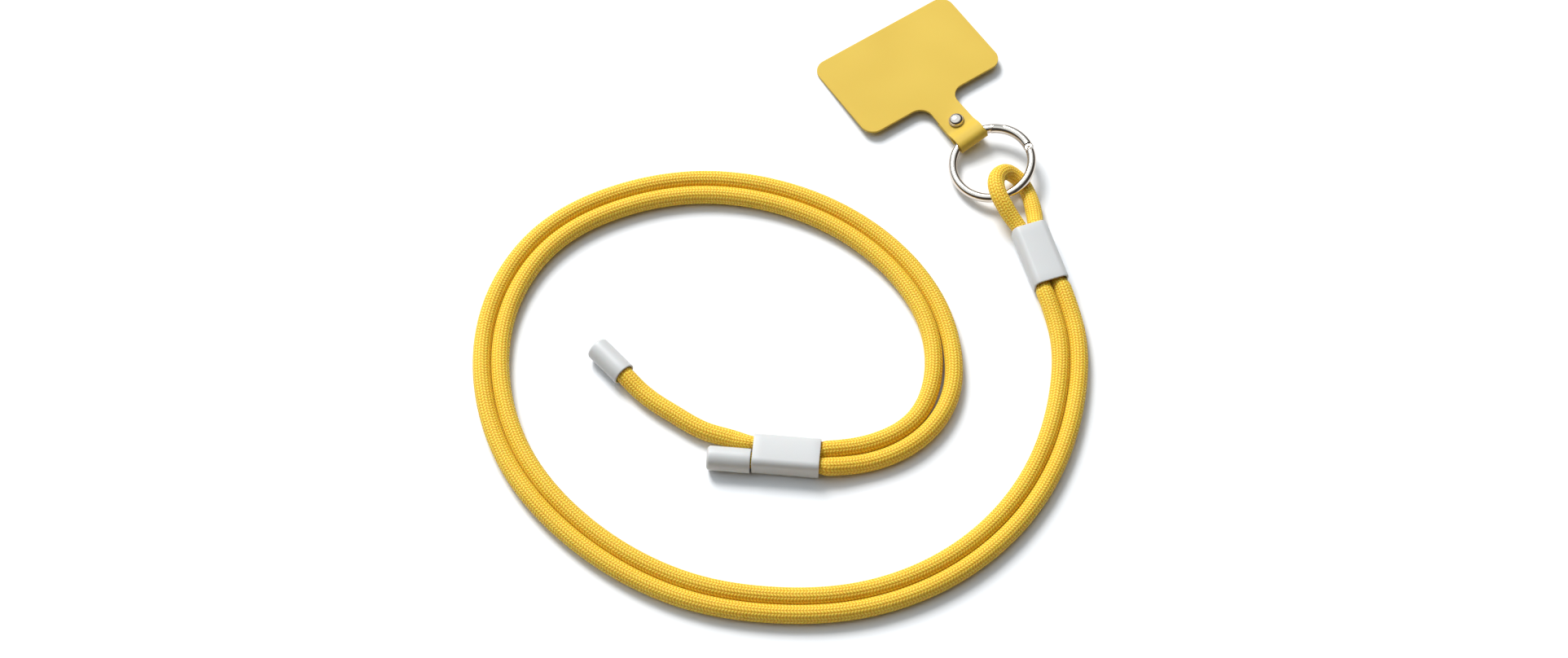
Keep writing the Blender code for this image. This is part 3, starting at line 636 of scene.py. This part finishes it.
for name, place in (("end_cap_short", short_cap), ("end_cap_tail", tail_cap)):
    points, faces = turned_surface(cap_line(), CAP_SIDES)
    cap = new_piece(name + "_moulding", carried_to(place, points), faces, abs_white, name)

# %% [markdown]
# The ring, its gate and the hinge pin are wire and zinc castings with nickel plate. The solids of
# ring and gate have the right shapes but flat facets, which a mirror shows at once. So each is
# copied, its loose triangles are merged, and it is shaded smooth except at its real edges. At the
# hinge the solids are plain, so rounded ears and the gate's hollow end are added to them. The
# plate has faint scuffs from a tumbling barrel, drawn ten times as wide as real, to show at all.


# %% Nickel plate
def nickel_plate():
    """Roughness varies with a fine noise, and the same noise gives a shallow bump."""
    plate, shader = new_material("tumbled nickel plate", {
        "Base Color": linear("#DDD2C6"),
        "Metallic": 1.0,
    })
    place = add_node(plate, "TexCoord").outputs["Object"]
    scuff = add_node(plate, "TexNoise", {"Vector": place, "Scale": 1 / (0.5 * MM), "Detail": 3.0})
    rough = add_node(plate, "MapRange", {"Value": scuff, "To Min": 0.04, "To Max": 0.10})
    relief = add_node(plate, "Bump", {"Height": scuff, "Distance": 0.004 * MM, "Strength": 0.4})
    link(plate, rough, shader.inputs["Roughness"])
    link(plate, relief, shader.inputs["Normal"])
    return plate


nickel = nickel_plate()
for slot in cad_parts["snap_socket"].material_slots:
    slot.material = nickel

# %% Sizes of the ring and its hinge
RING_R = 0.0156
RING_CENTRE = Vector((0.0644, 0.0270, 0.0064))
RING_SLOPE_X = 0.185
RING_SLOPE_Y = 0.050
PIN_ANGLE = math.radians(17.5)
PIN_D = 0.0010
PIN_HEAD_D = 0.0020
PIN_HEAD_T = 0.00025
EAR_TOP = 0.00125
GATE_D = 0.0040
EAR_R = 0.0017
EAR_LOW = 0.00075
EAR_HIGH = 0.00150
EAR_HOLE_R = 0.00062
EAR_SOFT = 0.00035
EAR_CLEAR = 0.0002
GATE_END_FROM = 0.0026
DIMPLE_D = 0.0012
DIMPLE_DEPTH = 0.0008
HINGE_SIDES = 48
PIN_SIDES = 32
ring_normal = Vector((-RING_SLOPE_X, -RING_SLOPE_Y, 1)).normalized()
ring = placed(RING_CENTRE, Vector((0, 1, 0)).cross(ring_normal), ring_normal)
hinge = Vector((RING_R * math.cos(PIN_ANGLE), RING_R * math.sin(PIN_ANGLE), 0))


# %% The ring and its gate
def ears():
    """The fork's two ears: washers with rounded rims, turned about the hinge."""
    turn = np.linspace(0, np.pi / 2, 6)
    rim = [(EAR_HIGH - EAR_SOFT * (1 - math.cos(a)), EAR_R - EAR_SOFT * (1 - math.sin(a))) for a in turn]
    line = np.array([(EAR_HIGH, EAR_HOLE_R), *rim, (EAR_LOW, EAR_R), (EAR_LOW, EAR_HOLE_R)])
    around = np.linspace(0, 2 * np.pi, HINGE_SIDES, endpoint=False)
    shells = []
    for side in (line, line[::-1] * (-1, 1)):
        height = np.broadcast_to(side[:, :1], (len(side), len(around)))
        shell = np.stack([side[:, 1:] * np.cos(around), side[:, 1:] * np.sin(around), height], -1)
        faces = grid_quads(*shell.shape[:2], closed_rows=True, closed_columns=True)
        shells.append((shell.reshape(-1, 3) + np.array(hinge), faces))
    return shells


def gate_end():
    """The gate's tube runs on to a hollow end that hugs the ears: along = sqrt(reach^2 - u^2)."""
    around = np.linspace(0, 2 * np.pi, HINGE_SIDES, endpoint=False)
    reach, full = EAR_R + EAR_CLEAR, GATE_D / 2 - 0.02 * MM
    least, soft = 0.5 * MM, 0.1 * MM

    def hugging(radius, back):
        """A ring of this radius that stands clear of the ears, and this much further back."""
        u = radius * np.cos(around)
        along = np.sqrt(np.maximum(reach**2 - u**2, least**2)) + back
        return along, u, radius * np.sin(around)

    start = (np.full(HINGE_SIDES, GATE_END_FROM), *hugging(full, 0)[1:])
    middles = ([GATE_END_FROM, reach], [0, 0], [0, 0])
    rows = [start, hugging(full, soft), hugging(full - soft, 0), middles]
    along, u, height = (np.concatenate(column) for column in zip(*rows))
    angle = PIN_ANGLE + along / RING_R
    points = np.column_stack([(RING_R + u) * np.cos(angle), (RING_R + u) * np.sin(angle), height])
    return [(points, tube_faces(3, HINGE_SIDES))]


REAL_EDGE = math.radians(35)
for name, body, shells in (("spring_ring", "strap", ears()), ("ring_gate", "gate", gate_end())):
    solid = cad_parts[name].data
    points = [tuple(vertex.co) for vertex in solid.vertices]
    faces = [list(face.vertices) for face in solid.polygons]
    for shell_points, shell_faces in shells:
        faces += [[corner + len(points) for corner in face] for face in shell_faces]
        points += carried_to(ring, shell_points).tolist()
    plated = new_piece(name + "_plated", points, faces, nickel, name, body)
    merge_doubles(plated)
    plated.data.set_sharp_from_angle(angle=REAL_EDGE)

# %% [markdown]
# The hinge pin is a tubular rivet: its heads are rolled over and leave a dimple in the middle.
# It could be cut with a Boolean, but a rivet is round, so one turned line gives all of it.


# %% Hinge pin
def pin_line():
    """Height and radius, from the dimple of the upper head down to that of the lower head."""
    head, shaft, dimple, soft = PIN_HEAD_D / 2, PIN_D / 2, DIMPLE_D / 2, 0.06 * MM
    low = EAR_TOP + GAP
    high = low + PIN_HEAD_T
    upper = np.array([
        (high - DIMPLE_DEPTH, 0), (high - DIMPLE_DEPTH, shaft / 2), (low, shaft - 2 * soft),
        (high - soft, dimple - soft), (high, dimple + soft), (high - soft, head - soft),
        (low + soft, head), (low, head - soft), (low, shaft + soft), (low - soft, shaft),
    ])
    return np.vstack([upper, upper[::-1] * (-1, 1)])


points, faces = turned_surface(pin_line(), PIN_SIDES)
points = carried_to(ring @ Matrix.Translation(hinge), points[:, [1, 2, 0]])
pin = new_piece("gate_pin_rivet", points, faces, nickel, "gate_pin")

# %% [markdown]
# The tab is a stamped sheet of matte TPU, 1 mm thick. Its plate goes behind the phone, and its
# tongue folds round the ring and back under itself. The sheet's middle surface is made first, as
# rows across the plate and the tongue, then Solidify gives it its thickness and Bevel softens
# the stamped edges.

# %% Sizes of the tab
TAB_WIDTH = 0.0650
TAB_HEIGHT = 0.0416
TAB_T = 0.0010
TAB_CORNER = 0.0055
TAB_HEADING = math.radians(33.2)
TONGUE_WIDTH = 0.0124
TONGUE_FILLET = 0.0055
TONGUE_REACH = 0.0225
TONGUE_ASIDE = -0.0003
TWIST_FROM = 0.0030
FOLD_BEND_R = 0.0058
WIRE_D = 0.0036
FOLD_GAP = 0.0002
FOLD_ASIDE = 0.0011
LAYER_PAST_SNAP = 0.0015
SNAP_TO_WIRE = 0.0088
SNAP_AT = TONGUE_REACH - SNAP_TO_WIRE
SNAP_D = 0.0062
SNAP_DOME = 0.0016
SNAP_RIM = 0.0005
SNAP_GAP = 0.0004
SHANK_D = 0.0018
SOCKET_D = 0.0052
SOCKET_H = 0.0013
EDGE_R = 0.22 * MM
TONGUE_STEP = 0.35 * MM
ARC_STEPS = 12
SNAP_SIDES = 72

# %% Where the tab lies
across_tab = Vector((math.cos(TAB_HEADING), math.sin(TAB_HEADING), 0))
away = Vector((-math.sin(TAB_HEADING), math.cos(TAB_HEADING), 0))
outward = (away - ring_normal * away.dot(ring_normal)).normalized()
wire_point = RING_CENTRE + RING_R * outward + TONGUE_ASIDE * outward.cross(ring_normal)
tilt = math.asin((wire_point.z - TAB_T / 2) / (TAB_HEIGHT + TONGUE_REACH))
along_tab = Vector((away.x * math.cos(tilt), away.y * math.cos(tilt), -math.sin(tilt)))
tab = placed(wire_point + along_tab * TONGUE_REACH, across_tab, across_tab.cross(along_tab))
slope = across_tab - ring_normal * across_tab.dot(ring_normal)
twist_at_wire = math.atan2(slope.z, slope.xy.length)
print("the tab leans", round(math.degrees(tilt), 1), "degrees, its tongue twists",
      round(math.degrees(twist_at_wire), 1))


# %% The tongue's path round the wire
def rounded_path(corners, radii, steps):
    """Straight runs through the corners, each corner turned as an arc of its radius."""
    corners = [np.array(corner) for corner in corners]
    points = [corners[0]]
    for before, corner, after, r in zip(corners, corners[1:], corners[2:], radii):
        back = (before - corner) / np.linalg.norm(before - corner)
        on = (after - corner) / np.linalg.norm(after - corner)
        half = math.acos(back @ on) / 2
        centre = corner + (back + on) / np.linalg.norm(back + on) * r / math.sin(half)
        first, last = corner + back * r / math.tan(half), corner + on * r / math.tan(half)
        start = math.atan2(*(first - centre)[::-1])
        turn = (math.atan2(*(last - centre)[::-1]) - start + math.pi) % (2 * math.pi) - math.pi
        angle = start + turn * np.linspace(0, 1, steps + 1)
        points += list(centre + r * np.column_stack([np.cos(angle), np.sin(angle)]))
    return np.array([*points, corners[-1]])


def tongue_path():
    """Along and height of the sheet's middle, out over the wire and back under the snap."""
    fold_r = WIRE_D / 2 + FOLD_GAP + TAB_T / 2
    under = -(TAB_T + GAP)
    bend_at = SNAP_AT + SNAP_D / 2 + SNAP_GAP
    crest, tip = TONGUE_REACH - WIRE_D / 3, TONGUE_REACH + FOLD_ASIDE + fold_r
    path = rounded_path(
        [(TONGUE_FILLET, 0), (bend_at, 0), (crest, fold_r), (tip, fold_r), (tip, -fold_r),
         (crest, -fold_r), (bend_at, under), (SNAP_AT - SOCKET_D / 2 - LAYER_PAST_SNAP, under)],
        [FOLD_BEND_R, FOLD_BEND_R, fold_r, fold_r, FOLD_BEND_R, FOLD_BEND_R], ARC_STEPS,
    )
    run = np.r_[0, np.cumsum(np.linalg.norm(np.diff(path, axis=0), axis=1))]
    even = np.linspace(0, run[-1], round(run[-1] / TONGUE_STEP))
    return np.column_stack([np.interp(even, run, path[:, 0]), np.interp(even, run, path[:, 1])])


def on_tongue(across, reach, height):
    """Turned to the wire's slope as it nears it."""
    turn = twist_at_wire * smoothstep((reach - TWIST_FROM) / (TONGUE_REACH - TWIST_FROM))
    beside = across * np.cos(turn) - height * np.sin(turn)
    over = across * np.sin(turn) + height * np.cos(turn)
    return np.stack([beside, np.broadcast_to(-reach, beside.shape), over], axis=-1)


# %% Matte TPU
def matte_tpu():
    """The calender roll's fine grain, drawn at 0.4 mm so that it shows, and a slow unevenness."""
    sheet, shader = new_material("matte TPU sheet", {
        "Roughness": 0.68,
        "IOR": 1.45,
        "Subsurface Weight": 0.1,
        "Subsurface Scale": 0.8 * MM,
        "Subsurface Radius": (1.0, 0.5, 0.12),
    })
    place = add_node(sheet, "TexCoord").outputs["Object"]
    grain = add_node(sheet, "TexNoise", {"Vector": place, "Scale": 1 / (0.4 * MM), "Detail": 2.0})
    slow = add_node(sheet, "TexNoise", {"Vector": place, "Scale": 1 / (30 * MM), "Detail": 1.0})
    colour = add_node(sheet, "ValToRGB", [slow])
    deep, pale = colour.color_ramp.elements
    deep.position, deep.color = 0.3, linear("#CBA837")
    pale.position, pale.color = 0.7, linear("#D1AF3F")
    relief = add_node(sheet, "Bump", {"Height": grain, "Distance": 0.02 * MM, "Strength": 0.5})
    link(sheet, colour, shader.inputs["Base Color"])
    link(sheet, relief, shader.inputs["Normal"])
    return sheet


tpu = matte_tpu()


# %% The tab
def tab_sheet():
    """Plate rows spread to a half width that rounds the corners, and the tongue's rows follow."""
    half_w, r, fillet = TAB_WIDTH / 2, TAB_CORNER, TONGUE_FILLET
    neck, turn = TONGUE_WIDTH / 2 + fillet, np.linspace(0, np.pi / 2, 13)
    far = np.column_stack([-TAB_HEIGHT + r * (1 - np.cos(turn)), half_w - r * (1 - np.sin(turn))])
    near = np.column_stack([-r * (1 - np.sin(turn)), half_w - r * (1 - np.cos(turn))])
    rows = np.vstack([far, near])
    middle, wings = np.linspace(-neck, neck, 25), np.linspace(0, 1, 9)[1:]
    wing = neck + (rows[:, 1:] - neck) * wings
    across = np.hstack([-wing[:, ::-1], np.tile(middle, (len(rows), 1)), wing])
    plate = np.stack([across, np.broadcast_to(-rows[:, :1], across.shape), np.zeros(across.shape)], -1)
    corner_rows = np.column_stack([fillet * (1 - np.cos(turn)), np.zeros(len(turn)),
                                   TONGUE_WIDTH / 2 + fillet * (1 - np.sin(turn))])
    path = tongue_path()[1:]
    path_rows = np.column_stack([path, np.full(len(path), TONGUE_WIDTH / 2)])
    rows = np.vstack([corner_rows, path_rows])
    tongue = on_tongue(rows[:, 2:] * np.linspace(-1, 1, len(middle)), rows[:, :1], rows[:, 1:2])
    on_plate = plate.shape[0] * plate.shape[1]
    quads = grid_quads(*plate.shape[:2]) + (np.array(grid_quads(*tongue.shape[:2])) + on_plate).tolist()
    return np.vstack([plate.reshape(-1, 3), tongue.reshape(-1, 3)]), quads


points, faces = tab_sheet()
phone_tab = new_piece("tab_sheet", carried_to(tab, points), faces, tpu, "phone_tab")
merge_doubles(phone_tab)
thickness = phone_tab.modifiers.new("thickness", "SOLIDIFY")
thickness.thickness = TAB_T
thickness.offset = 0
thickness.use_even_offset = True
stamped = phone_tab.modifiers.new("stamped edges", "BEVEL")
stamped.width = EDGE_R
stamped.segments = 3
stamped.harden_normals = True
stamped.limit_method = "ANGLE"
stamped.angle_limit = math.radians(60)

# %% [markdown]
# The snap's head is a spun dome with a flattened top and a thin rim that stands just off the
# sheet. It is one line turned about the snap's axis, like the caps.


# %% The snap's head
def snap_line():
    """Height and radius, from the dome's top down its rim, in to the shank and to its foot."""
    r, shank, soft = SNAP_D / 2, SHANK_D / 2, 0.1 * MM
    base, back = TAB_T / 2 + SNAP_GAP, TAB_T / 2 + GAP + TAB_T + SNAP_GAP + SOCKET_H
    dome = [(base + SNAP_RIM + SNAP_DOME * math.cos(a) ** 0.8, (r - SNAP_RIM / 2) * math.sin(a))
            for a in np.linspace(0, np.pi / 2, 15)[:-1]]
    rim = [(base + SNAP_RIM / 2 * (1 + math.cos(a)), r - SNAP_RIM / 2 * (1 - math.sin(a)))
           for a in np.linspace(0, np.pi, 9)]
    foot = [(base, shank + soft), (base - soft, shank),
            (soft - back, shank), (-back, shank - soft), (-back, 0)]
    return np.array(dome + rim + foot)


twist_at_snap = twist_at_wire * smoothstep((SNAP_AT - TWIST_FROM) / (TONGUE_REACH - TWIST_FROM))
snap = tab @ Matrix.Translation((0, -SNAP_AT, 0)) @ Matrix.Rotation(-float(twist_at_snap), 4, "Y")
points, faces = turned_surface(snap_line(), SNAP_SIDES)
snap_head = new_piece("snap_head", carried_to(snap, points[:, [1, 2, 0]]), faces, nickel, "snap_cap")

# %% [markdown]
# The strap lies on white paper in a light studio. One large softbox behind and to the left gives
# the shadows that fall to the front and right. The room itself is bright overhead and dark low
# down in front, which is what draws the black lines on the ring's wire.

# %% Floor
paper, paper_shader = new_material("white paper", {"Base Color": linear("#F4F4F5"), "Roughness": 0.85})
place = add_node(paper, "TexCoord").outputs["Object"]
fibres = add_node(paper, "TexNoise", {"Vector": place, "Scale": 1 / (1.5 * MM), "Detail": 3.0})
relief = add_node(paper, "Bump", {"Height": fibres, "Distance": 0.02 * MM, "Strength": 0.3})
link(paper, relief, paper_shader.inputs["Normal"])
FLOOR_HALF = 4.0
corners = [(x * FLOOR_HALF, y * FLOOR_HALF, 0) for x, y in ((-1, -1), (1, -1), (1, 1), (-1, 1))]
floor = bpy.data.objects.new("floor", bpy.data.meshes.new("floor"))
floor.data.from_pydata(corners, [], [(0, 1, 2, 3)])
floor.data.materials.append(paper)
bpy.context.collection.objects.link(floor)

# %% Softbox
KEY_DIRECTION = Vector((-0.46, 0.85, 1.08)).normalized()
KEY_DISTANCE = 3.0
KEY_SIZE = 1.15
KEY_POWER = 92.0

key = bpy.data.objects.new("key softbox", bpy.data.lights.new("key softbox", "AREA"))
bpy.context.collection.objects.link(key)
key.data.size, key.data.energy = KEY_SIZE, KEY_POWER
key.location = TARGET + KEY_DIRECTION * KEY_DISTANCE
key.rotation_euler = KEY_DIRECTION.to_track_quat("Z", "Y").to_euler()

# %% Room
ROOM_LIGHT = 1.25
BRIGHT_SIDE = Vector((-0.32, 0.42, 0.85)).normalized()
room = bpy.data.worlds.new("studio")
bpy.context.scene.world = room
room.use_nodes = True
direction = add_node(room, "TexCoord").outputs["Generated"]
facing = add_node(room, "VectorMath", [direction, BRIGHT_SIDE], operation="DOT_PRODUCT").outputs["Value"]
glow = add_node(room, "ValToRGB", [facing])
glow.color_ramp.interpolation = "EASE"
dark, bright = glow.color_ramp.elements
dark.position, dark.color = 0.58, linear("#44403C")
bright.position, bright.color = 0.80, linear("#E8F3FB")
sky = room.node_tree.nodes["Background"]
sky.inputs["Strength"].default_value = ROOM_LIGHT
link(room, glow, sky.inputs["Color"])
bpy.context.scene.view_settings.view_transform = "Standard"
print("one softbox, and a room that is dark low in front")
